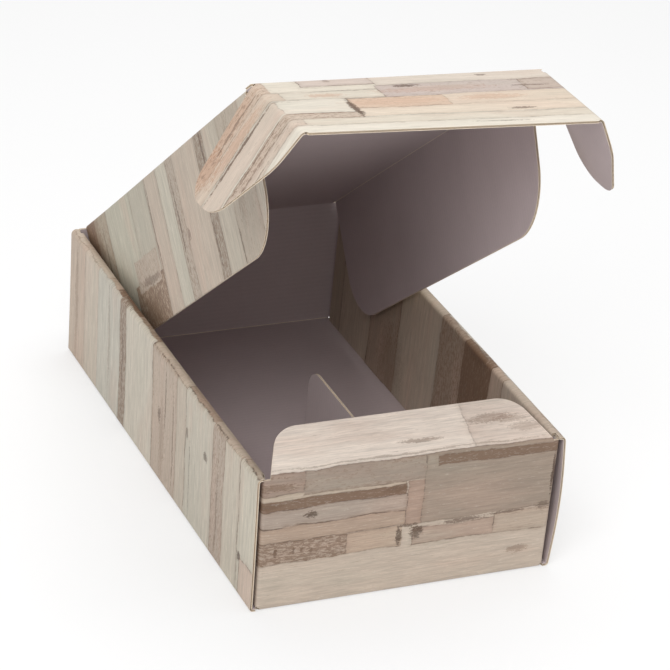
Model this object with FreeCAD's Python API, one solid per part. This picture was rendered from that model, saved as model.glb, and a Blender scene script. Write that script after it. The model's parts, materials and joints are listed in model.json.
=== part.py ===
import FreeCAD, Part
import math
import os

# Two-bottle shipping box: a roll-end tray and lid, folded from one die-cut sheet of fine-flute board.
# Millimetres. X runs to the right, Y from front to back, Z up. The origin is the middle of the base.
# The lid stands half open, as it does while the box is packed.

# The board and its folds
board = 1.5                 # thickness of the corrugated board
fold_inside = 0.5           # inside radius of a fold
crease_gap = 0.05           # running clearance of a scored crease
ply_gap = 0.15              # air between two plies that lie on each other

# The tray
box_width = 190.0
box_length = 327.0
box_height = 87.5
ear_slot = 2.25             # room in a side wall for the ear of the tuck flap
corner_flap_length = 75.0   # flaps of the end walls, shut inside the side walls
corner_flap_taper = 9.0     # how much the end of a corner flap narrows at each side
band_notch_length = 6.0     # cut at each end of a rolled wall, where the end wall folds in
band_notch_width = 3.4
lock_tab_length = 30.0
lock_tab_recess = 0.3       # the tabs end this far above the underside
lock_tab_fit = 0.25         # clearance round a tab in its slot
lock_tab_corner = 1.0
lock_tab_place = 82.0       # middle of a tab, from the middle of the box

# The lid
lid_length = 330.0          # from the hinge crease to the front crease
lid_open = 38.4             # degrees above shut
lid_fit = 0.4               # the lid's flaps clear the side walls by this
lid_front_step = 2.8        # how far the front of the lid stands out past the side creases
lid_side_relief = 1.5       # cut between a dust flap and the lid's wide front

# The dust flaps at the sides of the lid
dust_depth = 84.5
dust_tilt = 3.0             # degrees that a flap leans in from square
dust_rear_gap = 2.5         # from the hinge crease to the flap
dust_front_gap = 14.0       # from the front crease to the flap
dust_rear_slant = 9.0       # how far each end edge leans in over the depth
dust_front_slant = 7.0
dust_rear_corner = 36.0
dust_front_corner = 38.0

# The tuck flap at the front of the lid
tuck_depth = 76.0
tuck_fold = 36.5            # degrees down from the plane of the lid
tuck_corner = 1.5

# The ears at the ends of the tuck flap
ear_depth = 68.0
left_ear_fold = 58.0        # degrees down from the plane of the tuck flap
right_ear_fold = 63.5
ear_root_gap = 2.5          # from the front crease to the ear
ear_rear_slant = 5.0
ear_tip_width = 35.0
ear_shoulder_depth = 24.0   # the front edge turns in at this depth
ear_shoulder_slant = 4.0
ear_rear_corner = 17.0
ear_front_corner = 22.0
ear_shoulder_corner = 40.0

# The lip on the front wall, which holds the bottles down
lip_depth = 33.0
lip_rise = 24.0             # degrees above level
lip_drop = 20.0             # degrees below level that it can be pressed to
lip_fit = 1.0               # clearance to the side walls
lip_slant = 13.5
lip_corner = 17.0

# The divider card between the bottles
divider_height = 65.5
divider_length = 150.0
divider_foot = 62.0
divider_corner = 14.0
divider_foot_corner = 8.0
divider_end_gap = 0.5
divider_seat = 0.1          # glue line under the foot

# Worked out from the sizes above
half_width = box_width / 2
half_length = box_length / 2
fold_outside = fold_inside + board
band_width = 3 * board + ear_slot + ply_gap
inner_face = half_width - band_width
inner_panel_mid = inner_face + board / 2
corner_flap_mid = inner_face + board + ply_gap + board / 2
corner_fold_face = corner_flap_mid + board / 2
crease_setback = board / 2 + crease_gap
lid_half = inner_face - lid_fit - board
front_half = lid_half + lid_front_step

X = FreeCAD.Vector(1, 0, 0)
Y = FreeCAD.Vector(0, 1, 0)
Z = FreeCAD.Vector(0, 0, 1)


def point(x, y, z=0.0):
    return FreeCAD.Vector(x, y, z)


def rounded_face(corners):
    """A flat face in XY from corners given as (x, y, radius)."""
    edges = []
    spots = [point(x, y) for x, y, _ in corners]
    ends = []
    for index, (_, _, radius) in enumerate(corners):
        here = spots[index]
        back = (spots[index - 1] - here).normalize()
        ahead = (spots[(index + 1) % len(spots)] - here).normalize()
        if radius <= 0:
            ends.append((here, here, None))
            continue
        half_turn = back.getAngle(ahead) / 2
        reach = radius / math.tan(half_turn)
        middle = (back + ahead).normalize() * (radius / math.sin(half_turn) - radius)
        ends.append((here + back * reach, here + ahead * reach, here + middle))
    for index, (start, end, middle) in enumerate(ends):
        if middle is not None:
            edges.append(Part.Arc(start, middle, end).toShape())
        onward = ends[(index + 1) % len(ends)][0]
        if end.distanceToPoint(onward) > 1e-6:
            edges.append(Part.LineSegment(end, onward).toShape())
    return Part.Face(Part.Wire(edges))


def ribbon(path):
    """The section of folded board along a middle line of square turns, as a face in XY."""
    half = board / 2
    left, right = [], []
    for index, (x, y) in enumerate(path):
        here = point(x, y)
        first, last = index == 0, index == len(path) - 1
        before = None if first else (here - point(*path[index - 1])).normalize()
        after = None if last else (point(*path[index + 1]) - here).normalize()
        if first or last:
            side = Z.cross(after if first else before) * half
            left.append((here + side, 0.0))
            right.append((here - side, 0.0))
            continue
        corner = (Z.cross(before) + Z.cross(after)) * half
        turns_left = before.cross(after).z > 0
        left.append((here + corner, fold_inside if turns_left else fold_outside))
        right.append((here - corner, fold_outside if turns_left else fold_inside))
    outline = left + right[::-1]
    return rounded_face([(spot.x, spot.y, radius) for spot, radius in outline])


def box(x0, x1, y0, y1, z0, z1):
    return Part.makeBox(x1 - x0, y1 - y0, z1 - z0, point(x0, y0, z0))


def placed(shape, origin, along, out, normal):
    """Moves a shape from its own frame to the frame of a panel."""
    turned = shape.copy()
    turned.Placement = FreeCAD.Placement(origin, FreeCAD.Rotation(along, out, normal, "ZXY"))
    return turned


def sheet(corners):
    """A flat panel of board with its middle plane on XY."""
    return rounded_face(corners).extrude(Z * board).translated(Z * (-board / 2))


def bead(length):
    """The rounded root of a hinged panel, along X."""
    return Part.makeCylinder(board / 2, length, point(-length / 2, 0), X)


def mirrored(shape):
    return shape.mirror(point(0, 0), X)


def joined(shapes):
    whole = shapes[0].fuse(shapes[1:]).removeSplitter()
    return whole.Solids[0] if len(whole.Solids) == 1 else whole


def side_walls():
    """Floor and both rolled side walls as one bent strip, with notched ends."""
    foot = board + ply_gap
    top = box_height - board / 2
    outer = half_width - board / 2
    right = [(outer, board / 2), (outer, top), (inner_panel_mid, top), (inner_panel_mid, foot)]
    left = [(-x, z) for x, z in reversed(right)]
    section = ribbon(left + right)
    strip = section.extrude(Z * box_length)
    strip = placed(strip, point(0, half_length), X, Z, -Y)
    reach = half_length + 1
    # the floor's end edges make way for the folds of the end walls
    for side in (-1, 1):
        ends = sorted((side * (half_length - fold_outside), side * reach))
        strip = strip.cut(box(-corner_fold_face, corner_fold_face, ends[0], ends[1], -1, foot))
        notch = sorted((side * (half_length - band_notch_length), side * reach))
        inside = inner_face - 1
        outside = inner_face + band_notch_width
        for low, high in ((inside, outside), (-outside, -inside)):
            strip = strip.cut(box(low, high, notch[0], notch[1], foot, box_height + 1))
    return strip


def end_wall(top):
    """The front or back wall with its floor fold and its two corner flaps, at the front."""
    wall_mid = board / 2 - half_length
    flap_end = wall_mid + corner_flap_length
    low, high = board + 2 * ply_gap, box_height - board - 2 * ply_gap
    flap_start = fold_outside - half_length
    turned = ribbon([(-corner_flap_mid, flap_end), (-corner_flap_mid, wall_mid),
                     (corner_flap_mid, wall_mid), (corner_flap_mid, flap_end)])
    wrap = turned.extrude(Z * (top - fold_outside)).translated(Z * fold_outside)
    # the corner flaps are lower than the wall and narrow towards their ends
    for z0, z1, lean in ((-1, low, 1), (high, box_height + 1, -1)):
        edge = z0 if lean < 0 else z1
        far = z1 if lean < 0 else z0
        profile = [point(0, flap_start, edge), point(0, flap_end + 1, edge + lean * corner_flap_taper),
                   point(0, flap_end + 1, far), point(0, flap_start, far)]
        wedge = Part.Face(Part.makePolygon(profile + profile[:1]))
        wrap = wrap.cut(wedge.extrude(X * box_width).translated(X * -half_width))
    bend = ribbon([(0, top), (0, board / 2), (2 * fold_outside, board / 2)])
    straight = 2 * (corner_fold_face - fold_outside)
    bend = placed(bend.extrude(Z * straight), point(-straight / 2, wall_mid), Y, Z, X)
    return wrap.fuse(bend)


def tray():
    """The tray: floor, rolled side walls, end walls with corner flaps, and lock tabs in floor slots."""
    shell = side_walls()
    # the front wall ends lower, so that the lip can be pressed down past square
    cos, sin = turned(lip_drop)
    front_top = box_height - board / 2 - crease_gap - board / 2 * (1 + sin) / cos
    back_top = box_height + board / 2 - crease_setback
    front = end_wall(front_top)
    back = end_wall(back_top).mirror(point(0, 0), Y)
    tabs = []
    slots = []
    for side in (-1, 1):
        for place in (-lock_tab_place, lock_tab_place):
            tabs.append(lock_tab(side, place, 0.0))
            slots.append(lock_tab(side, place, lock_tab_fit))
    shell = shell.cut(slots)
    return joined([shell, front, back] + tabs)


def lock_tab(side, place, fit):
    """A tab on the foot of an inner panel, or with a fit the slot for it."""
    length = lock_tab_length + 2 * fit
    low = -1.0 if fit else lock_tab_recess
    high = board + (0.0 if fit else 2 * ply_gap)
    corner = 0.0 if fit else lock_tab_corner
    half = length / 2
    face = rounded_face([(-half, high, 0), (-half, low, corner), (half, low, corner), (half, high, 0)])
    solid = face.extrude(Z * (board + 2 * fit))
    return placed(solid, point(side * inner_panel_mid - board / 2 - fit, place), Y, Z, X)


def front_lip():
    """The lip, in its own frame: X along the crease, Y away from it."""
    half = inner_face - lip_fit
    outline = [(-half, 0, 0), (half, 0, 0), (half - lip_slant, lip_depth, lip_corner),
               (lip_slant - half, lip_depth, lip_corner)]
    return joined([sheet(outline), bead(2 * half)])


def lid_panel():
    """The lid, in its own frame: the hinge crease on X, the front crease at lid_length."""
    front = lid_length - crease_setback
    step = lid_length - dust_front_gap + lid_side_relief
    edge = lid_half - crease_gap
    outline = [(-edge, 0, 0), (edge, 0, 0), (edge, step, 0), (front_half, step + lid_front_step, 0),
               (front_half, front, 0), (-front_half, front, 0),
               (-front_half, step + lid_front_step, 0), (-edge, step, 0)]
    return joined([sheet(outline), bead(2 * edge)])


def dust_flap():
    """A dust flap, in its own frame: X along the side crease from the hinge, Y away from it.

    The flap turns about the inner edge of the lid, so its board lies outside its X axis and its
    root is rounded over the end of the lid.
    """
    front = lid_length - dust_front_gap
    outline = [(dust_rear_gap, 0, 0), (front, 0, 0),
               (front - dust_front_slant, dust_depth, dust_front_corner),
               (dust_rear_gap + dust_rear_slant, dust_depth, dust_rear_corner)]
    panel = rounded_face(outline).extrude(Z * board)
    round_root = Part.makeCylinder(board, front - dust_rear_gap, point(dust_rear_gap, 0), X)
    quarter = box(dust_rear_gap, front, -board, 0, 0, board)
    return joined([panel, round_root.common(quarter)])


def tuck_flap():
    """The tuck flap, in its own frame: X along the front crease, Y away from it."""
    half = front_half - crease_setback
    outline = [(-half, 0, 0), (half, 0, 0), (half, tuck_depth, tuck_corner), (-half, tuck_depth, tuck_corner)]
    return joined([sheet(outline), bead(2 * half)])


def ear():
    """An ear, in its own frame: X along the end of the tuck flap from the front crease, Y away from it."""
    front = tuck_depth - tuck_corner
    rear = ear_root_gap
    tip = rear + ear_rear_slant
    outline = [(rear, 0, 0), (front, 0, 0),
               (front - ear_shoulder_slant, ear_shoulder_depth, ear_shoulder_corner),
               (tip + ear_tip_width, ear_depth, ear_front_corner), (tip, ear_depth, ear_rear_corner)]
    root = Part.makeCylinder(board / 2, front - rear, point(rear, 0), X)
    return joined([sheet(outline), root])


def bottle_divider():
    """A card folded once: a foot on the floor and an upright between the bottles."""
    bend = ribbon([(-divider_foot, board / 2), (0, board / 2), (0, divider_height)])
    start = board + divider_end_gap - half_length
    card = placed(bend.extrude(Z * divider_length), point(0, start + divider_length, board + divider_seat),
                  X, Z, -Y)
    end = start + divider_length
    tall = divider_height + 1
    upright = rounded_face([(start, -1, 0), (end, -1, 0), (end, divider_height, divider_corner),
                            (start, divider_height, 0)])
    upright = placed(upright.extrude(Z * board), point(-board / 2, 0, board + divider_seat), Y, Z, X)
    foot = rounded_face([(-divider_foot, start, divider_foot_corner), (0, start, 0), (0, end, 0),
                         (-divider_foot, end, divider_foot_corner)])
    foot = foot.extrude(Z * tall).translated(Z * (board + divider_seat))
    clear = box(-divider_foot - 1, -board / 2, start, end, board + divider_seat + board, tall + board)
    return card.common(upright.fuse(foot.cut(clear).removeSplitter()))


def turned(degrees):
    """Cosine and sine of an angle in degrees."""
    return math.cos(math.radians(degrees)), math.sin(math.radians(degrees))


def build():
    nodes = {"tray": tray(), "bottle_divider": bottle_divider()}

    cos, sin = turned(lip_rise)
    crease = point(0, board / 2 - half_length, box_height - board / 2)
    nodes["front_lip"] = placed(front_lip(), crease, X, point(0, cos, sin), point(0, -sin, cos))

    cos, sin = turned(lid_open)
    hinge = point(0, half_length - board / 2, box_height + board / 2)
    forward = point(0, -cos, sin)
    outside = point(0, sin, cos)
    nodes["lid"] = placed(lid_panel(), hinge, -X, forward, outside)

    cos, sin = turned(dust_tilt)
    side_crease = hinge + X * lid_half - outside * (board / 2)
    down = outside * -cos - X * sin
    face = X * cos - outside * sin
    nodes["right_dust_flap"] = placed(dust_flap(), side_crease, forward, down, face)
    nodes["left_dust_flap"] = mirrored(nodes["right_dust_flap"])

    cos, sin = turned(tuck_fold)
    front_crease = hinge + forward * lid_length
    tuck_out = forward * cos - outside * sin
    tuck_face = outside * cos + forward * sin
    nodes["tuck_flap"] = placed(tuck_flap(), front_crease, -X, tuck_out, tuck_face)

    def folded_ear(fold):
        cos, sin = turned(fold)
        ear_crease = front_crease + X * front_half
        ear_out = X * cos - tuck_face * sin
        ear_face = tuck_face * cos + X * sin
        return placed(ear(), ear_crease, tuck_out, ear_out, ear_face)

    nodes["left_ear"] = mirrored(folded_ear(left_ear_fold))
    nodes["right_ear"] = folded_ear(right_ear_fold)
    return nodes


os.makedirs("parts", exist_ok=True)
for name, shape in build().items():
    shape.exportStep(os.path.join("parts", name + ".step"))
    print(name, "valid" if shape.isValid() else "NOT VALID", len(shape.Solids), "solid",
          round(shape.Volume / 1000, 2), "cm3")
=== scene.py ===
# %% [markdown]
# # A bottle shipping box, folded from one printed sheet
#
# The real box comes off the cutting die as one flat sheet of fine-flute board, and a person folds it up.
# This lesson does the same: each panel is cut flat, gets its paper skins and its flutes, and is then folded
# along its creases. Working flat first has a big advantage: the flat sheet's own coordinates stay with
# every point, so the printed planks run on over each fold, as they do on the real sheet.

# %% Load the frame
import json
import math

import bpy
import numpy as np
from mathutils import Matrix, Vector
from mathutils.geometry import delaunay_2d_cdt


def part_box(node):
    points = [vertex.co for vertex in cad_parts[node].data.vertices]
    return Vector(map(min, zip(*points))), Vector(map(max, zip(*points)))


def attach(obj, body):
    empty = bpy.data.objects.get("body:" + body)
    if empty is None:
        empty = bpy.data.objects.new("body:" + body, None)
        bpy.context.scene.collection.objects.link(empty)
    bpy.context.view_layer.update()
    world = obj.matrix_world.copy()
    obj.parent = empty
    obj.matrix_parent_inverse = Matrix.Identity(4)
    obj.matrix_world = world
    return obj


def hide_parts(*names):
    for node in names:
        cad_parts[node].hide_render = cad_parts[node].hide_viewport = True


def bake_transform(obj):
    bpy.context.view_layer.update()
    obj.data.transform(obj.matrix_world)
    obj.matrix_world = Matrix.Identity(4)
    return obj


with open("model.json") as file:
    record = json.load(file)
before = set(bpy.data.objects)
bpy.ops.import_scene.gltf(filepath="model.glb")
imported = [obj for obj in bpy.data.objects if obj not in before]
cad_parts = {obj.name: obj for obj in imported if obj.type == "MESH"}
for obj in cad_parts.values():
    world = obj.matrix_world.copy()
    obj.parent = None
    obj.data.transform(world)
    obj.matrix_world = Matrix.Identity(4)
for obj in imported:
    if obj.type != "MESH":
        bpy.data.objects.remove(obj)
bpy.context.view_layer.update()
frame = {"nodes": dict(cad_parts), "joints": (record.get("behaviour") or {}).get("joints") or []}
print("frame nodes:", ", ".join(sorted(frame["nodes"])))

# %% [markdown]
# ## Sizes
#
# The outside sizes and the places of the creases come from the frame, so the sheet always fits it. What the
# frame doesn't tell, such as the thickness of the paper skins or the pitch of the flutes, is named here.

# %% The sheet and the box
MM = 0.001
board = 1.5 * MM
skin = 0.24 * MM            # each paper skin of the board
flute_pitch = 3.2 * MM
flute_paper = 0.2 * MM
open_depth = 2.2 * MM       # how far one can look into the flutes at a cut edge
cell = 6 * MM               # spacing of points on a flat panel
least_triangle = 1.5e-9     # square metres, below which a triangle is only rounding

tray_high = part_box("tray")[1]
half_width = tray_high.x
half_length = tray_high.y
box_height = 87.5 * MM
floor_mid = board / 2
wall_mid = half_length - board / 2
side_mid = half_width - board / 2
ply_gap = 0.15 * MM         # between two plies that lie against each other
rolled_width = 6.9 * MM     # a side wall with its two plies and the slot between them
inner_mid = half_width - rolled_width + board / 2
corner_mid = half_width - rolled_width + board + ply_gap + board / 2

joints = {joint["name"]: joint for joint in frame["joints"]}


def joint_place(name):
    return Vector(joints[name]["pos_m"])


lid_hinge = joint_place("lid_hinge")
tuck_hinge = joint_place("tuck_flap_hinge")
lip_hinge = joint_place("front_lip_hinge")
dust_hinge = joint_place("right_dust_flap_hinge")
lid_length = (tuck_hinge - lid_hinge).length
lid_forward = (tuck_hinge - lid_hinge).normalized()
lid_rise = math.asin(lid_forward.z)
tuck_down = Vector(joints["left_ear_hinge"]["axis"])
tuck_fold = lid_forward.angle(tuck_down)
front_half = joint_place("right_ear_hinge").x
print("lid length", round(lid_length / MM, 1), "mm, raised", round(math.degrees(lid_rise), 1), "degrees")

# %% [markdown]
# ## Creases
#
# A crease isn't a knife-sharp line. The board is scored and bends round a small radius over a strip a few
# millimetres wide. On the flat sheet a crease is therefore a start line, a direction, an angle and a
# radius, and everything past the strip turns as one stiff piece. The walls are folded in the order of a
# real packer's hands, outermost first, because then the part of the sheet that carries a crease is still
# flat when it is folded.


# %% Creases on the flat sheet
class Crease:
    """A fold across the flat sheet, towards its plain side."""

    def __init__(self, start, direction, angle, radius):
        self.direction = np.array([direction[0], direction[1], 0.0])
        self.origin = self.direction * start
        self.start = start
        self.angle = angle
        self.width = radius * angle
        self.radius = radius
        self.end = start + self.width

    def tangent(self):
        """How far from the sharp corner the bend starts."""
        return self.radius * math.tan(self.angle / 2)

    def corner(self):
        """Where the panel past the crease would start if the corner were sharp."""
        return self.end - self.tangent()

    def fold(self, points, flat):
        past = (flat - self.origin) @ self.direction
        share = np.clip(past / self.width, 0, 1)
        angle = (share * self.angle)[:, None]
        centre = self.origin + np.array([0, 0, self.radius])
        up = np.array([0.0, 0.0, 1.0])
        axis = np.cross(self.direction, up)
        arm = points - (share * self.width)[:, None] * self.direction - centre
        along = (arm @ axis)[:, None] * axis
        turned = along + (arm - along) * np.cos(angle) + np.cross(axis, arm) * np.sin(angle)
        return np.where(share[:, None] > 0, centre + turned, points)


def course(turns, direction):
    """Creases one after another, each turn given as (length between sharp corners, angle, radius)."""
    creases, corner = [], 0.0
    for length, angle, radius in turns:
        tangent = radius * math.tan(angle / 2)
        creases.append(Crease(corner + length - tangent, direction, angle, radius))
        corner = creases[-1].corner()
    return creases


# %% The creases of this box
quarter = math.pi / 2
sharp, soft = 1.25 * MM, 2.4 * MM
lid_turn = quarter - lid_rise
lip_rise = math.radians(24)
dust_tilt = math.radians(3)
ear_fold = {-1: math.radians(58), 1: math.radians(63.5)}
wall_height = box_height - board / 2 - floor_mid
side_turns = [(side_mid, quarter, sharp), (wall_height, quarter, soft),
              (side_mid - inner_mid, quarter, sharp)]
lid_turns = [(wall_mid, quarter, sharp), (lid_hinge.z - floor_mid, lid_turn, sharp),
             (lid_length, tuck_fold, 1.5 * MM)]
lip_turns = [(wall_mid, quarter, sharp), (lip_hinge.z - floor_mid, quarter - lip_rise, 1.0 * MM)]
sides = {side: course(side_turns, (side, 0)) for side in (-1, 1)}
back = course(lid_turns, (0, 1))
front = course(lip_turns, (0, -1))
lid_start = back[1].corner()            # where the lid's hinge line lies on the flat sheet
tuck_start = back[2].corner()
wall_start = front[0].corner() - board / 2      # the foot of a wall on the flat sheet
print("flat sheet from", round(-front[-1].end / MM), "to", round(back[-1].end / MM),
      "mm, not counting the lip and the tuck flap")

# %% [markdown]
# ## Cutting a panel
#
# A panel's outline is a list of corners, each with its own radius. The outline is filled with triangles on
# a square grid that is closer at the creases, because only there does the sheet bend sharply. Blender's
# constrained Delaunay routine joins the grid and the outline into one clean net.


# %% Outlines
def outline_points(corners, chord=0.9 * MM):
    """Points along an outline from corners given as (x, y, radius)."""
    spots = [np.array(corner[:2], float) for corner in corners]
    points = []
    for index, corner in enumerate(corners):
        here, radius = spots[index], corner[2] if len(corner) > 2 else 0
        if radius <= 0:
            points.append(here)
            continue
        back_way = spots[index - 1] - here
        ahead = spots[(index + 1) % len(spots)] - here
        back_way, ahead = back_way / np.linalg.norm(back_way), ahead / np.linalg.norm(ahead)
        half_turn = math.acos(np.clip(back_way @ ahead, -1, 1)) / 2
        bisector = (back_way + ahead) / np.linalg.norm(back_way + ahead)
        centre = here + bisector * radius / math.sin(half_turn)
        first = here + back_way * radius / math.tan(half_turn) - centre
        last = here + ahead * radius / math.tan(half_turn) - centre
        sweep = math.pi - 2 * half_turn
        count = max(3, math.ceil(sweep * radius / chord))
        for step in range(count + 1):
            share = step / count
            weight_first = math.sin((1 - share) * sweep) / math.sin(sweep)
            weight_last = math.sin(share * sweep) / math.sin(sweep)
            points.append(centre + first * weight_first + last * weight_last)
    return np.array(points)


def with_crossings(loop, lines):
    """The outline with a point wherever a grid line crosses it. lines holds the grid lines in x and in y."""
    result = []
    for index, start in enumerate(loop):
        end = loop[(index + 1) % len(loop)]
        shares = [0.0]
        for axis in (0, 1):
            run = end[axis] - start[axis]
            if abs(run) > 1e-9:
                crossing = (lines[axis] - start[axis]) / run
                shares += list(crossing[(crossing > 0.001) & (crossing < 0.999)])
        least = 0.08 * MM / np.linalg.norm(end - start)
        kept = [0.0]
        for share in sorted(shares):
            if share - kept[-1] > least and 1 - share > least:
                kept.append(share)
        result += [start + (end - start) * s for s in kept]
    return np.array(result)


def inside(points, loops):
    """Whether each point lies inside the outline and outside its holes."""
    found = np.zeros(len(points), bool)
    for loop in loops:
        following = np.roll(loop, -1, 0)
        for (x0, y0), (x1, y1) in zip(loop, following):
            if y0 == y1:
                continue
            crosses = (points[:, 1] > min(y0, y1)) & (points[:, 1] <= max(y0, y1))
            reach = x0 + (points[:, 1] - y0) * (x1 - x0) / (y1 - y0)
            found ^= crosses & (points[:, 0] < reach)
    return found


# %% Grid lines and the net of triangles
def grid_lines(low, high, creases, axis):
    """Evenly spaced lines from low to high, with more of them across each crease."""
    lines = list(np.linspace(low, high, max(2, round((high - low) / cell) + 1)))
    for crease in creases:
        sign = crease.direction[axis]
        if sign == 0:
            continue
        strip = crease.start + crease.width * np.array([-0.7, 0, 0.17, 0.33, 0.5, 0.67, 0.83, 1, 1.7])
        strip = strip * sign
        lines = [x for x in lines if x < strip.min() - MM or x > strip.max() + MM]
        lines += list(strip[(strip > low) & (strip < high)])
    return np.array(sorted(lines))


def cut_panel(corners, creases=(), holes=()):
    """The flat net of a panel: its points in 2D and its triangles."""
    outer = outline_points(corners)
    low, high = outer.min(0), outer.max(0)
    lines = [grid_lines(low[axis], high[axis], creases, axis) for axis in (0, 1)]
    loops = [with_crossings(loop, lines) for loop in [outer] + [outline_points(hole) for hole in holes]]
    grid = np.array([(x, y) for x in lines[0] for y in lines[1]])
    inner = inside(grid, loops)
    for loop in loops:
        away = np.full(len(grid), np.inf)
        for start, end in zip(loop, np.roll(loop, -1, 0)):
            run = end - start
            share = np.clip((grid - start) @ run / max(run @ run, 1e-18), 0, 1)
            away = np.minimum(away, np.linalg.norm(grid - start - share[:, None] * run, axis=1))
        inner &= away > 0.15 * MM
    points = [Vector(p) for p in np.vstack(loops + [grid[inner]])]
    edges, first = [], 0
    for loop in loops:
        count = len(loop)
        edges += [(first + i, first + (i + 1) % count) for i in range(count)]
        first += count
    found = delaunay_2d_cdt(points, edges, [], 0, 1e-7)
    net = np.array([list(p) for p in found[0]])
    faces = np.array(found[2])
    middle = net[faces].mean(1)
    faces = faces[inside(middle, loops)]
    a, b, c = (net[faces[:, i]] for i in range(3))
    turn = (b[:, 0] - a[:, 0]) * (c[:, 1] - a[:, 1]) - (b[:, 1] - a[:, 1]) * (c[:, 0] - a[:, 0])
    faces[turn < 0] = faces[turn < 0][:, ::-1]
    return net, faces[np.abs(turn) > least_triangle]


# %% [markdown]
# ## Skins, cut edges and flutes
#
# Corrugated board is two flat papers with a wavy one glued between them. From outside one sees only the
# flat papers, but at a cut edge the wave shows, and that is what makes cardboard look like cardboard. So
# each panel is a shell with a groove all round its edge, and a wavy ribbon lies in the groove.
#
# The ribbon follows a path and repeats, which is work for Geometry Nodes: the tree takes the edge as a
# curve, spaces points along it, lifts each by a sine of its place on the flat sheet, and sweeps a thin
# strip along it.


# %% The edge loops of a net
def edge_loops(faces):
    """Loops of points round a net of triangles, with the panel on their left."""
    directed = {(int(a), int(b)) for face in faces for a, b in zip(face, np.roll(face, -1))}
    onward = {a: b for a, b in directed if (b, a) not in directed}
    loops = []
    while onward:
        start, here = onward.popitem()
        loop = [start]
        while here != start:
            loop.append(here)
            here = onward.pop(here)
        loops.append(loop)
    return loops


def inset(points, depth):
    """A closed loop moved inwards, to its left, by depth."""
    ahead = np.roll(points, -1, 0) - points
    ahead /= np.linalg.norm(ahead, axis=1)[:, None]
    behind = np.roll(ahead, 1, 0)
    normal_ahead = np.stack([-ahead[:, 1], ahead[:, 0]], 1)
    normal_behind = np.stack([-behind[:, 1], behind[:, 0]], 1)
    lean = np.maximum(1 + (normal_ahead * normal_behind).sum(1), 0.5)[:, None]
    return points + (normal_ahead + normal_behind) / lean * depth


# %% The tree that makes the flutes
def flute_tree():
    """The tree that lays a wavy strip of paper along an edge."""
    tree = bpy.data.node_groups.new("flutes_along_an_edge", "GeometryNodeTree")
    face = tree.interface
    face.new_socket("Edge", in_out="INPUT", socket_type="NodeSocketGeometry")
    for name, value in (("Pitch", flute_pitch), ("Height", 0.4 * MM), ("Reach", 1.9 * MM),
                        ("Paper", flute_paper), ("Spacing", 0.45 * MM)):
        face.new_socket(name, in_out="INPUT", socket_type="NodeSocketFloat").default_value = value
    face.new_socket("Material", in_out="INPUT", socket_type="NodeSocketMaterial")
    face.new_socket("Flutes", in_out="OUTPUT", socket_type="NodeSocketGeometry")

    def add(kind, inputs, out=0, **settings):
        """Adds a node with its settings, and feeds its inputs from sockets or plain values."""
        node = tree.nodes.new(kind)
        for name, value in settings.items():
            setattr(node, name, value)
        for name, value in inputs.items():
            if isinstance(value, bpy.types.NodeSocket):
                tree.links.new(value, node.inputs[name])
            else:
                node.inputs[name].default_value = value
        return node.outputs[out] if node.outputs else None

    given = tree.nodes.new("NodeGroupInput").outputs
    curve = add("GeometryNodeMeshToCurve", {"Mesh": given["Edge"]})
    spaced = add("GeometryNodeResampleCurve", {"Curve": curve, "Length": given["Spacing"]}, mode="LENGTH")
    place = add("GeometryNodeInputPosition", {})
    along = add("ShaderNodeSeparateXYZ", {"Vector": place}, "Y")
    turns = add("ShaderNodeMath", {0: along, 1: given["Pitch"]}, operation="DIVIDE")
    angle = add("ShaderNodeMath", {0: turns, 1: 2 * math.pi}, operation="MULTIPLY")
    wave = add("ShaderNodeMath", {0: angle}, operation="SINE")
    lift = add("ShaderNodeMath", {0: wave, 1: given["Height"]}, operation="MULTIPLY")
    offset = add("ShaderNodeCombineXYZ", {"Z": lift})
    waved = add("GeometryNodeSetPosition", {"Geometry": spaced, "Offset": offset})
    upright = add("GeometryNodeSetCurveNormal", {"Curve": waved}, mode="Z_UP")
    strip = add("GeometryNodeCurvePrimitiveQuadrilateral",
                {"Width": given["Reach"], "Height": given["Paper"]})
    swept = add("GeometryNodeCurveToMesh", {"Curve": upright, "Profile Curve": strip})
    real = add("GeometryNodeRealizeInstances", {"Geometry": swept})
    painted = add("GeometryNodeSetMaterial", {"Geometry": real, "Material": given["Material"]})
    add("NodeGroupOutput", {"Flutes": painted})
    return tree


flutes = flute_tree()
print("flute tree has", len(flutes.nodes), "nodes")


# %% Flutes for one panel
def flute_ribbon(loops):
    """Points and faces of the wavy paper along flat edge loops."""
    edges, points = [], []
    for loop in loops:
        first, count = len(points), len(loop)
        points += [(x, y, 0.0) for x, y in loop]
        edges += [(first + i, first + (i + 1) % count) for i in range(count)]
    mesh = bpy.data.meshes.new("edge_path")
    mesh.from_pydata(points, edges, [])
    path = bpy.data.objects.new("edge_path", mesh)
    bpy.context.scene.collection.objects.link(path)
    modifier = path.modifiers.new("flutes", "NODES")
    modifier.node_group = flutes
    sockets = {item.name: item.identifier for item in flutes.interface.items_tree}
    modifier[sockets["Material"]] = flute_wave
    graph = bpy.context.evaluated_depsgraph_get()
    made = bpy.data.meshes.new_from_object(path.evaluated_get(graph))
    spots = np.zeros(len(made.vertices) * 3, np.float32)
    made.vertices.foreach_get("co", spots)
    faces = [tuple(face.vertices) for face in made.polygons]
    bpy.data.objects.remove(path)
    bpy.data.meshes.remove(mesh)
    bpy.data.meshes.remove(made)
    return spots.reshape(-1, 3).astype(float), faces


# %% A whole flat panel with thickness
PLAIN, CUT, FLUTE, PRINTED = range(4)
ribbon_depth = 1.2 * MM     # from a cut edge to the middle of its ribbon


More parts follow.
